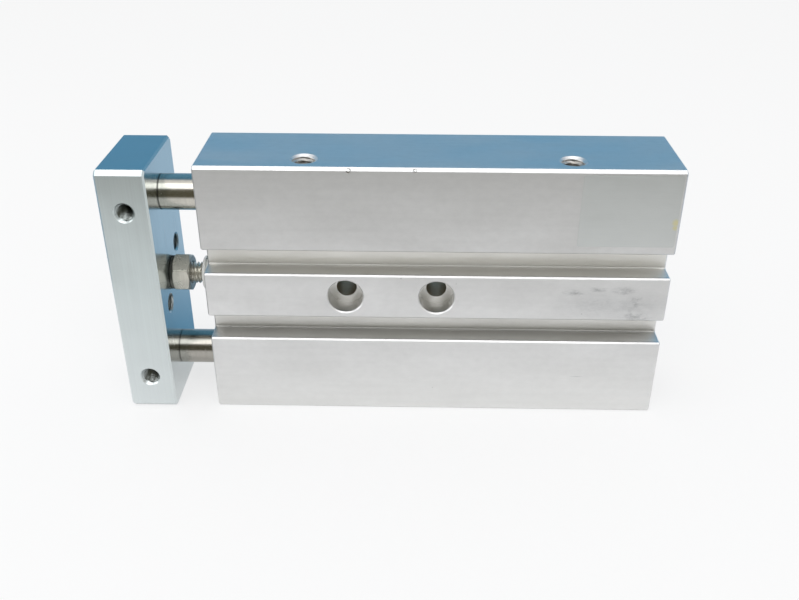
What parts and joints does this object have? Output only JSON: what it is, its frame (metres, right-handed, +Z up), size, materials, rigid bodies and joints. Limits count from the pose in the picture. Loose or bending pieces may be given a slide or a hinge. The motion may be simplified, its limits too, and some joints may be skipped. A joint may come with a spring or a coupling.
{
  "type": "guided pneumatic cylinder",
  "caption": "Flat twin-piston pneumatic cylinder whose rods are joined by a yoke plate, with an adjustable end stop, sensor grooves and threaded air ports.",
  "frame": {"origin": "half-way between the two mounting holes, in the plane of both rods (the middle plane of the block)", "axes": "+X from the yoke to the closed end, along the rods; +Y from the grooved front face to the flat back face; +Z up, towards the face with the air ports"},
  "size_m": [0.1212, 0.023, 0.06],
  "materials": {
    "anodised_block": "satin",
    "milled_plate": "satin",
    "turned_aluminium": "satin",
    "ground_rod": "polished",
    "plated_steel": "satin",
    "spring_steel": "satin",
    "bearing_bronze": "satin",
    "black_rubber": "matte",
    "buffer_plastic": "satin",
    "magnet_compound": "matte",
    "label_foil": "satin"
  },
  "bodies": {
    "block": {"housing": "anodised_block", "channel_plugs": "plated_steel", "retaining_rings": "spring_steel", "rod_seals": "black_rubber", "cap_sealing_rings": "black_rubber", "front_cushions": "black_rubber", "rear_cushions": "black_rubber", "guide_cap_upper": "turned_aluminium", "guide_cap_lower": "turned_aluminium", "rod_bush_upper": "bearing_bronze", "rod_bush_lower": "bearing_bronze", "end_cap_upper": "turned_aluminium", "end_cap_lower": "turned_aluminium"},
    "carriage": {"yoke_plate": "milled_plate", "rod_screws": "plated_steel", "piston_seals": "black_rubber", "piston_nuts": "plated_steel", "piston_rod_upper": "ground_rod", "piston_rod_lower": "ground_rod", "piston_front_upper": "turned_aluminium", "piston_front_lower": "turned_aluminium", "piston_rear_upper": "turned_aluminium", "piston_rear_lower": "turned_aluminium", "magnet_ring_upper": "magnet_compound", "magnet_ring_lower": "magnet_compound"},
    "nut": {"lock_nut": "plated_steel"},
    "buffer": {"stop_buffer": "buffer_plastic"},
    "screw": {"stop_screw": "plated_steel"}
  },
  "joints": [
    {"name": "piston_slide", "type": "slide", "parent": "block", "child": "carriage", "axis": [-1, 0, 0], "range_m": [0, 0.025]},
    {"name": "lock_nut_turn", "type": "hinge", "parent": "carriage", "child": "nut", "pos_m": [-0.0481, 0, 0], "axis": [1, 0, 0], "range_deg": [0, 60]},
    {"name": "stop_setting", "type": "slide", "parent": "carriage", "child": "buffer", "axis": [-1, 0, 0], "range_m": [0, 0.0024]},
    {"name": "stop_screw_turn", "type": "hinge", "parent": "buffer", "child": "screw", "pos_m": [-0.0504, 0, 0], "axis": [-1, 0, 0], "range_deg": [0, 1080]}
  ],
  "couplings": [
    {"joint": "stop_screw_turn", "follows": "stop_setting", "rad_per_m": 7854}
  ]
}
